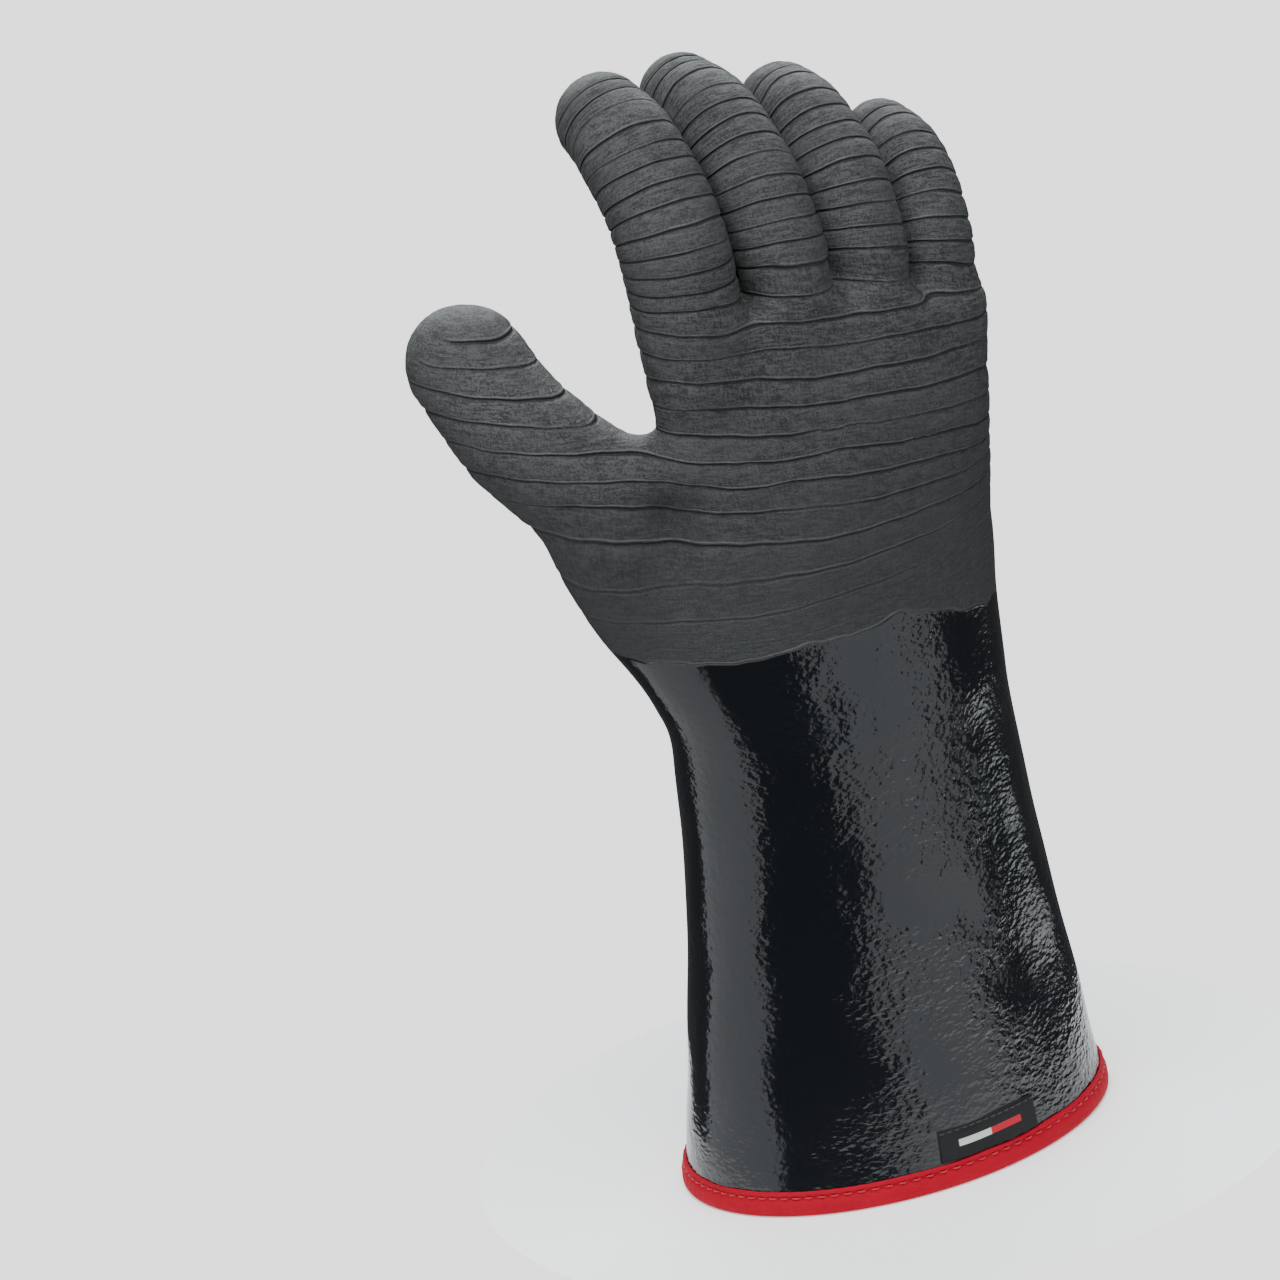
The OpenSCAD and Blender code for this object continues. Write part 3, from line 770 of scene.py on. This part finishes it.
def digit_pieces(name, s_from, cuts, bodies, nodes):
    """Skin and liner pieces of a digit: each runs from one cut to the next."""
    tube, lengths = digit_tube(name, s_from)
    digit = digits[name]
    rows = [0] + [int(np.searchsorted(lengths, c)) for c in cuts] + [len(lengths)]
    for i, (shell, liner, fold) in enumerate(nodes):
        first, last = rows[i], min(rows[i + 1] + 1, len(lengths))
        tip = i == len(nodes) - 1
        bend_end = int(np.searchsorted(lengths, digit.knots_at[-2] + TIP_BEND)) if tip else last - 1
        ends = tube.rest[first], tube.rest[bend_end]
        way = ends[1].mean(axis=0) - ends[0].mean(axis=0)
        skin = dressed(tube.piece(shell.replace("shell", "skin"), first, last, tip), skin_material,
                       "dipped_crinkle", shell, fold)
        pad = dressed(tube.piece(liner + "_felt", first, last, tip, SHELL + GAP, SHELL + LINER, 4),
                      liner_felt, "insulation_felt", liner)
        for piece in (skin, pad):
            bent(piece, bodies[i], bodies[i + 1], *ends, way)


KNUCKLES = ("root", "middle", "end")
BONES = ("base", "middle", "tip")
for name in FINGERS:
    s_middle, s_end = digits[name].knots_at[2:4]
    digit_pieces(
        name, 0.0, (0.56 * s_middle, s_middle + 0.6 * (s_end - s_middle)),
        ["hand"] + [f"{name}_{b}" for b in BONES],
        [(f"{name}_{b}_shell", f"{name}_{b}_liner", f"{name}_{k}_fold") for b, k in zip(BONES, KNUCKLES)])

THUMB_SEAM = 16.0      # the thumb is clear of its web past this length from its root
thumb_middle_at = digits["thumb"].knots_at[3]
digit_pieces(
    "thumb", THUMB_SEAM, (thumb_middle_at - 5.5,), ["hand", "thumb_base", "thumb_tip"],
    [("thumb_base_shell", "thumb_base_liner", "thumb_root_fold"),
     ("thumb_tip_shell", "thumb_tip_liner", "thumb_middle_fold")])


# ---- the hand
def seam_plane(name):
    return digits[name].at(THUMB_SEAM if name == "thumb" else 0.0)


def hand_skin():
    low = [-88.0, -46.0, SEAM_Z - 4]
    high = [82.0, 56.0, max(r[2] for r in roots.values()) + 14]
    points, quads = surface_net(distance, low, high, 1.0)
    f = lambda p: in_chunks(distance, p)
    points = onto(f, relaxed(onto(f, points, 2), quads), 2)
    mesh = bpy.data.meshes.new("cut")
    mesh.from_pydata(points.tolist(), [], quads.tolist())
    bm = bmesh.new()
    bm.from_mesh(mesh)
    bmesh.ops.bisect_plane(bm, geom=bm.verts[:] + bm.edges[:] + bm.faces[:], plane_co=(0, 0, SEAM_Z),
                           plane_no=(0, 0, 1), clear_inner=True)
    for name in digits:
        at, way = seam_plane(name)
        centres = np.array([face.calc_center_median() for face in bm.faces])
        nearness = np.stack([digits[d].nearest(centres)[0] for d in digits])
        mine = np.array(list(digits))[nearness.argmin(axis=0)] == name
        past = (centres - at) @ way > -4
        bm.faces.ensure_lookup_table()
        faces = [bm.faces[i] for i in np.flatnonzero(mine & past & (nearness.min(axis=0) < 6))]
        edges = list({e for face in faces for e in face.edges})
        verts = list({v for face in faces for v in face.verts})
        bmesh.ops.bisect_plane(bm, geom=verts + edges + faces, plane_co=at, plane_no=way,
                               clear_outer=True, dist=1e-4)
    bmesh.ops.delete(bm, geom=[v for v in bm.verts if not v.link_faces], context="VERTS")
    bm.verts.index_update()
    rest = np.array([v.co for v in bm.verts])
    faces = [[v.index for v in face.verts] for face in bm.faces]
    rims = [(e.link_loops[0].vert.index, e.link_loops[0].link_loop_next.vert.index)
            for e in bm.edges if len(e.link_faces) == 1]
    bm.free()
    bpy.data.meshes.remove(mesh)
    normals = gradient(f, rest)
    skin, turns, depth = displaced(rest, normals)
    n = len(rest)
    walls = faces + [[v + n for v in face[::-1]] for face in faces]
    walls += [[b, a, a + n, b + n] for a, b in rims]
    fields = {"rest": np.concatenate([rest, rest]), "turns": np.concatenate([turns, turns]),
              "crease": np.concatenate([depth, 0 * depth])}
    return mesh_object("hand_skin", np.concatenate([skin, rest - normals * SHELL]), walls, fields)


def hand_pad():
    def f(p):
        d = distance(p)
        wall = np.maximum(d + SHELL + GAP, -(d + SHELL + LINER))
        wall = np.maximum(wall, SEAM_Z + 0.3 - p[:, 2])
        for name in digits:
            at, way = seam_plane(name)
            near = digits[name].nearest(p)[0] < 4
            wall = np.where(near, np.maximum(wall, (p - at) @ way + 0.3), wall)
        return wall
    low, high = [-86.0, -44.0, SEAM_Z - 6], [80.0, 54.0, max(r[2] for r in roots.values()) + 10]
    points, quads = surface_net(f, low, high, 1.6)
    points = relaxed(points, quads, 1)
    return mesh_object("hand_felt", points, quads.tolist(), {"rest": points})


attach(dressed(hand_skin(), skin_material, "dipped_crinkle", "hand_shell"), "hand")
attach(dressed(hand_pad(), liner_felt, "insulation_felt", "hand_liner"), "hand")

# ---- gauntlet and wrist
CUFF_COLUMNS = 320
cuff_z = np.concatenate([[1.5], np.arange(2.0, SEAM_Z, 1.0), [SEAM_Z]])


def cuff_tube():
    mid_x, wide, deep = loft(cuff_z)
    middles = np.stack([mid_x, 0 * cuff_z, cuff_z], axis=1)
    origins = np.repeat(middles[:, None, :], CUFF_COLUMNS, axis=1)
    turn = np.linspace(0, 2 * math.pi, CUFF_COLUMNS, endpoint=False)
    x, y = wide[:, None] * np.cos(turn), deep[:, None] * np.sin(turn)
    ways = np.stack([x, y, 0 * x], axis=2)
    return Tube(distance, origins, unit(ways), 40.0)


cuff = cuff_tube()
split = int(np.searchsorted(cuff_z, CUFF_SPLIT_Z))
top = len(cuff_z)
for name, first, last in (("gauntlet", 0, split + 1), ("wrist", split, top)):
    stiff = name == "gauntlet"
    outer = dressed(cuff.piece(f"{name}_skin", first, last), skin_material, "dipped_gloss",
                    "gauntlet_shell" if stiff else "wrist_fold")
    cloth = cuff.piece(f"{name}_felt_lining", first, last, False, SHELL + 0.1, SHELL + LINER, 3)
    inner = dressed(cloth, cotton, "cotton_lining",
                    *(["gauntlet_insulation", "gauntlet_lining"] if stiff else []))
    for piece in (outer, inner):
        if stiff:
            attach(piece, "cuff")
        else:
            bent(piece, "cuff", "hand", cuff.rest[first], cuff.rest[last - 1], UP)


# ---- hem: binding, label and stitches
def cuff_place(turn, z, out):
    """A point of the cuff at a turn, in radians, and a height, moved outwards."""
    mid_x, wide, deep = loft(np.asarray(z, float))
    normal = unit(np.stack(np.broadcast_arrays(np.cos(turn) * deep, np.sin(turn) * wide), axis=-1))
    x = mid_x + wide * np.cos(turn) + out * normal[..., 0]
    y = deep * np.sin(turn) + out * normal[..., 1]
    return np.stack(np.broadcast_arrays(x, y, z), axis=-1)


binding_top = reach("cuff_binding", np.zeros(3), UP)
stitch_z = middle_and_half("binding_stitches")[0][2]
wall = SHELL + LINER + 0.2     # the hem, between the two sides of the tape
TAPE = 0.9                     # the tape folded under the hem is this thick
HEM_STITCHES = 96
HEM_LENGTH = 375.0             # round the hem


def binding():
    """Tape folded over the hem: up the outside to its sewn edge, and up the inside."""
    outside = [(0.12, binding_top), (0.55, binding_top + 0.05), (0.98, binding_top - 0.35),
               (1.02, stitch_z + 0.75), (0.62, stitch_z + 0.28), (0.55, stitch_z), (0.62, stitch_z - 0.28),
               (1.05, stitch_z - 0.8), (1.28, 3.6), (1.22, 2.0), (0.95, 0.95), (0.35, 0.28), (-0.9, 0.02)]
    inside = [(-wall + 0.9, 0.02), (-wall - 0.35, 0.28), (-wall - 0.95, 0.95), (-wall - 1.1, 2.2),
              (-wall - 1.05, 4.2), (-wall - 0.95, stitch_z), (-wall - 0.98, binding_top - 0.4),
              (-wall - 0.5, binding_top), (-wall - 0.1, binding_top - 0.05), (-wall - 0.1, TAPE),
              (0.1, TAPE)]
    profile = np.array(outside + inside)
    count = 560
    turn = np.linspace(0, 2 * math.pi, count, endpoint=False)[:, None]
    flat_turn = turn[:, 0]
    ring = np.stack([np.cos(flat_turn), np.sin(flat_turn), 0 * flat_turn], axis=1) * 60
    wave = 0.1 * waves(ring, 16, 41)
    pull = 0.07 * np.cos(flat_turn * HEM_STITCHES)
    outer = (profile[:, 1] > 2.5) & (profile[:, 0] > 0)
    out = profile[:, 0] + outer * (wave + pull)[:, None]
    z = profile[:, 1] + (profile[:, 1] > binding_top - 1) * 1.6 * wave[:, None]
    points = cuff_place(turn, np.maximum(z, 0.02), out)
    k = len(profile)
    quads = grid_faces(count + 1, k) % (count * k)
    along = np.repeat(np.arange(count) * HEM_LENGTH / count, k)
    lengths = np.concatenate([[0], np.cumsum(np.linalg.norm(np.diff(profile, axis=0), axis=1))])
    flat = points.reshape(-1, 3)
    return mesh_object("binding", flat, quads.tolist(),
                       {"rest": flat, "along": along, "across": np.tile(lengths, count)})


def stitches(name, places, ways, length, thick, sink):
    """Short lengths of thread that rise from the cloth and go back into it."""
    points, faces = [], []
    steps, sides = 9, 8
    for place, (way, out) in zip(places, ways):
        third = np.cross(way, out)
        base = len(points)
        for i in range(steps):
            t = i / (steps - 1)
            bow = math.sin(math.pi * t)
            centre = place + way * (t - 0.5) * length + out * (thick * 0.5 * bow - sink * (1 - bow))
            r = thick / 2 * (0.35 + 0.65 * bow ** 0.5)
            for j in range(sides):
                a = 2 * math.pi * j / sides
                points.append(centre + r * (math.cos(a) * out + math.sin(a) * third))
        faces += np.roll(grid_faces(steps, sides, True, base), 1, axis=1).tolist()
        end = len(points) - sides
        faces += [list(range(base, base + sides)), list(range(end, end + sides))[::-1]]
    return mesh_object(name, points, faces, {"rest": np.array(points)})


def along_cuff(turns, z, out):
    places = [cuff_place(t, z, out) for t in turns]
    ways = []
    for t in turns:
        ahead = unit(cuff_place(t + 0.01, z, out) - cuff_place(t - 0.01, z, out))
        ways.append((ahead, unit(np.cross(ahead, UP))))
    return places, ways


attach(dressed(binding(), red_tape, "binding_tape", "cuff_binding"), "cuff")
hem_turns = np.linspace(0, 2 * math.pi, HEM_STITCHES, endpoint=False) + math.pi / HEM_STITCHES
seam_stitches = stitches("binding_seam", *along_cuff(hem_turns, stitch_z, 0.62), 2.9, 0.62, 0.25)
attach(dressed(seam_stitches, red_thread, "binding_thread", "binding_stitches"), "cuff")

label_mid, label_half = middle_and_half("cuff_label")
label_turn = math.atan2(label_mid[1] / hem_half[1], label_mid[0] / hem_half[0])
label_reach = label_half[0] / (hem_half[0] * 0.985)
LABEL_ACROSS, LABEL_UP = 96, 28


def label():
    """A woven patch, thinner at its edges, with a plain two-tone bar woven into it."""
    u, v = np.meshgrid(np.linspace(-1, 1, LABEL_ACROSS), np.linspace(-1, 1, LABEL_UP))
    edge = np.minimum((1 - np.abs(u)) * label_half[0], (1 - np.abs(v)) * label_half[2])
    puff = 0.62 * np.clip(edge / 0.5, 0, 1) ** 0.5 + 0.3 + 0.1 * np.sin(u * 7 + v)
    z = label_mid[2] + v * label_half[2] + 0.12 * np.sin(u * 5)
    points = cuff_place(label_turn + u * label_reach, z, puff)
    back = cuff_place(label_turn + u * label_reach, z, 0.12 + 0 * puff)
    flat = np.concatenate([points.reshape(-1, 3), back.reshape(-1, 3)])
    n = LABEL_ACROSS * LABEL_UP
    at = np.arange(n).reshape(LABEL_UP, LABEL_ACROSS)
    front = np.stack([at[:-1, :-1], at[:-1, 1:], at[1:, 1:], at[1:, :-1]], axis=-1).reshape(-1, 4)
    rim = np.concatenate([at[0], at[1:, -1], at[-1, -2::-1], at[-2:0:-1, 0]])
    a, b = rim, np.roll(rim, -1)
    sides = np.stack([b, a, a + n, b + n], axis=1)
    faces = np.concatenate([front, front[:, ::-1] + n, sides]).tolist()
    along = np.tile((u * label_half[0]).ravel(), 2)
    across = np.tile((v * label_half[2]).ravel(), 2)
    return mesh_object("label", flat, faces, {"rest": flat, "along": along, "across": across})


def label_cloth():
    n = Nodes("label_cloth")
    along, across = n.field("along"), n.field("across")
    weave = n.weave(along, across, 0.5, 0.36)
    ground = n.mixed(weave, (0.003, 0.003, 0.0035), (0.010, 0.010, 0.011))
    bar = n.times(n.between(n.size(across), 0.95, 1.1, 1.0, 0.0),
                 n.between(n.size(along), 11.4, 11.6, 1.0, 0.0))
    tone = n.mixed(n.between(along, -0.1, 0.1), (0.62, 0.62, 0.60), (0.50, 0.012, 0.025))
    colour = n.mixed(bar, ground, tone)
    return n.finish(colour, n.between(weave, 0.0, 1.0, 0.62, 0.5), n.bump(weave, 0.00012),
                    Specular_IOR_Level=0.25)


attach(dressed(label(), label_cloth(), "label_weave", "cuff_label"), "cuff")
label_turns = label_turn + np.linspace(-0.93, 0.93, 14) * label_reach
label_top = label_mid[2] + label_half[2] - 0.9
label_seam = stitches("label_seam", *along_cuff(label_turns, label_top, 0.95), 1.9, 0.42, 0.12)
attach(dressed(label_seam, dark_thread, "dark_thread", "label_stitches"), "cuff")


# ---- hang loop
def hang_loop():
    """Webbing folded into a long eye, lying out from the hem."""
    root = joint_at("loop_swing")
    axis = np.array(joints["loop_swing"]["axis"])
    out = unit(np.cross(UP, axis))
    half, thick, top_z = 5.0, 1.1, 1.85        # of the webbing, and the upper layer's height at the hem
    length = reach("hang_loop", root, out)
    tall = reach("hang_loop", np.zeros(3), UP)
    r = tall / 2 - thick / 2
    straight = length - tall / 2
    bend = [(straight + r * math.sin(a), tall / 2 - r * math.cos(a)) for a in np.linspace(0, math.pi, 18)]
    lower = [(x, thick / 2 + 0.02) for x in np.linspace(0, straight, 22)[:-1]]
    upper = [(x, top_z + (tall - thick / 2 - top_z) * smooth(0, straight, x))
             for x in np.linspace(straight, 0, 22)[1:]]
    path = np.array(lower + bend + upper)
    section = [(-1, -0.3), (-0.97, -0.5), (0.97, -0.5), (1, -0.3),
               (1, 0.3), (0.97, 0.5), (-0.97, 0.5), (-1, 0.3)]
    points, along, across = [], [], []
    run = 0.0
    for i, (x, z) in enumerate(path):
        a, b = path[max(i - 1, 0)], path[min(i + 1, len(path) - 1)]
        ahead = unit(b - a)
        up = np.array([-ahead[1], ahead[0]])
        run += 0 if i == 0 else float(np.linalg.norm(path[i] - path[i - 1]))
        for side, lift in section:
            centre = np.array([x, z]) + up * lift * thick
            points.append([*(root + out * centre[0] + np.cross(UP, out) * side * half)[:2],
                           max(0.02, centre[1])])
            along.append(run)
            across.append(side * half)
    k = len(section)
    ends = [list(range(k))[::-1], list(range(len(points) - k, len(points)))]
    faces = grid_faces(len(path), k).tolist() + ends
    return mesh_object("webbing_loop", points, faces,
                       {"rest": np.array(points), "along": np.array(along), "across": np.array(across)})


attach(dressed(hang_loop(), black_webbing, "loop_webbing", "hang_loop"), "loop")
for node, dark, pale in (("hang_loop_tails", (0.005, 0.005, 0.006), (0.018, 0.018, 0.020)),
                         ("loop_stitches", (0.012, 0.012, 0.013), (0.035, 0.035, 0.037))):
    slots = frame["nodes"][node].data.materials
    slots.clear()
    slots.append(plain_cloth(node, dark, pale))


# ---- floor, camera and lights
FLOOR_R, FLOOR_SIDES = 125.0, 90


def floor():
    turn = np.linspace(0, 2 * math.pi, FLOOR_SIDES, endpoint=False)
    points = np.stack([FLOOR_R * np.cos(turn), FLOOR_R * np.sin(turn), 0 * turn - 0.05], axis=1)
    obj = mesh_object("floor", points, [list(range(FLOOR_SIDES))], {"rest": points})
    obj.data.materials.append(pale_floor())


floor()

AZIMUTH, ELEVATION, ROLL = math.radians(-30), math.radians(22), math.radians(9)
FRAME_MM = 380.16           # width of the picture at the glove
CAMERA_M = 9.0              # from the camera to the glove
LOOK_AT = (-52.4, 155.6)    # the picture's middle, in millimetres to the right and up
SENSOR_MM = 36.0
GLOVE_MIDDLE_M = 0.15       # height that the lights are aimed at
SOFT_WHITE = (0.93, 0.97, 1.0)
BACKDROP, FILL = 2.05, 0.08 # strength of the world as seen, and as a light


def camera():
    """Looks at the back of the hand from the thumb's side, a little from above, and leans with it."""
    right = np.array([math.cos(AZIMUTH), math.sin(AZIMUTH), 0])
    back = np.array([math.sin(AZIMUTH) * math.cos(ELEVATION), -math.cos(AZIMUTH) * math.cos(ELEVATION),
                     math.sin(ELEVATION)])
    up = np.cross(back, right)
    target = (right * LOOK_AT[0] + up * LOOK_AT[1]) * MM
    rolled_right = right * math.cos(ROLL) - up * math.sin(ROLL)
    rolled_up = right * math.sin(ROLL) + up * math.cos(ROLL)
    place = target + back * CAMERA_M
    data = bpy.data.cameras.new("camera")
    data.sensor_width = SENSOR_MM
    data.lens = SENSOR_MM * CAMERA_M / (FRAME_MM * MM)
    data.clip_end = 30
    obj = placed("camera", data)
    rows = [[rolled_right[i], rolled_up[i], back[i], place[i]] for i in range(3)]
    obj.matrix_world = Matrix(rows + [[0, 0, 0, 1]])
    bpy.context.scene.camera = obj


camera()


def softbox(name, azimuth, elevation, distance_m, width, height, power):
    """A soft light aimed at the glove's middle, from the camera's side at a turn to its right."""
    turn = AZIMUTH + math.radians(azimuth)
    lift = math.radians(elevation)
    way = Vector((math.sin(turn) * math.cos(lift), -math.cos(turn) * math.cos(lift), math.sin(lift)))
    data = bpy.data.lights.new(name, "AREA")
    data.shape, data.size, data.size_y, data.energy = "RECTANGLE", width, height, power
    data.color = SOFT_WHITE
    obj = placed(name, data)
    obj.location = Vector((0, 0, GLOVE_MIDDLE_M)) + way * distance_m
    obj.rotation_euler = way.to_track_quat("Z", "Y").to_euler()
    obj.visible_camera = False


softbox("left", -74, -8, 1.3, 1.75, 2.6, 20)
softbox("right", 52, -6, 1.3, 1.5, 2.6, 17)
softbox("edge", 114, -31, 1.3, 0.42, 0.4, 1.2)
softbox("behind", 178, 30, 1.3, 1.2, 0.9, 20)
softbox("above", -10, 72, 1.3, 1.2, 1.2, 36)

world = bpy.data.worlds.new("studio")
bpy.context.scene.world = world
world.use_nodes = True
tree = world.node_tree
path = tree.nodes.new("ShaderNodeLightPath")
mix = tree.nodes.new("ShaderNodeMixShader")
seen = tree.nodes.new("ShaderNodeBackground")
lit = tree.nodes["Background"]
for node, colour, strength in ((seen, (1, 1, 1, 1), BACKDROP), (lit, (0.9, 0.95, 1.0, 1), FILL)):
    node.inputs["Color"].default_value, node.inputs["Strength"].default_value = colour, strength
for i, source in enumerate((path.outputs["Is Camera Ray"], lit.outputs[0], seen.outputs[0])):
    tree.links.new(source, mix.inputs[i])
tree.links.new(mix.outputs[0], tree.nodes["World Output"].inputs["Surface"])
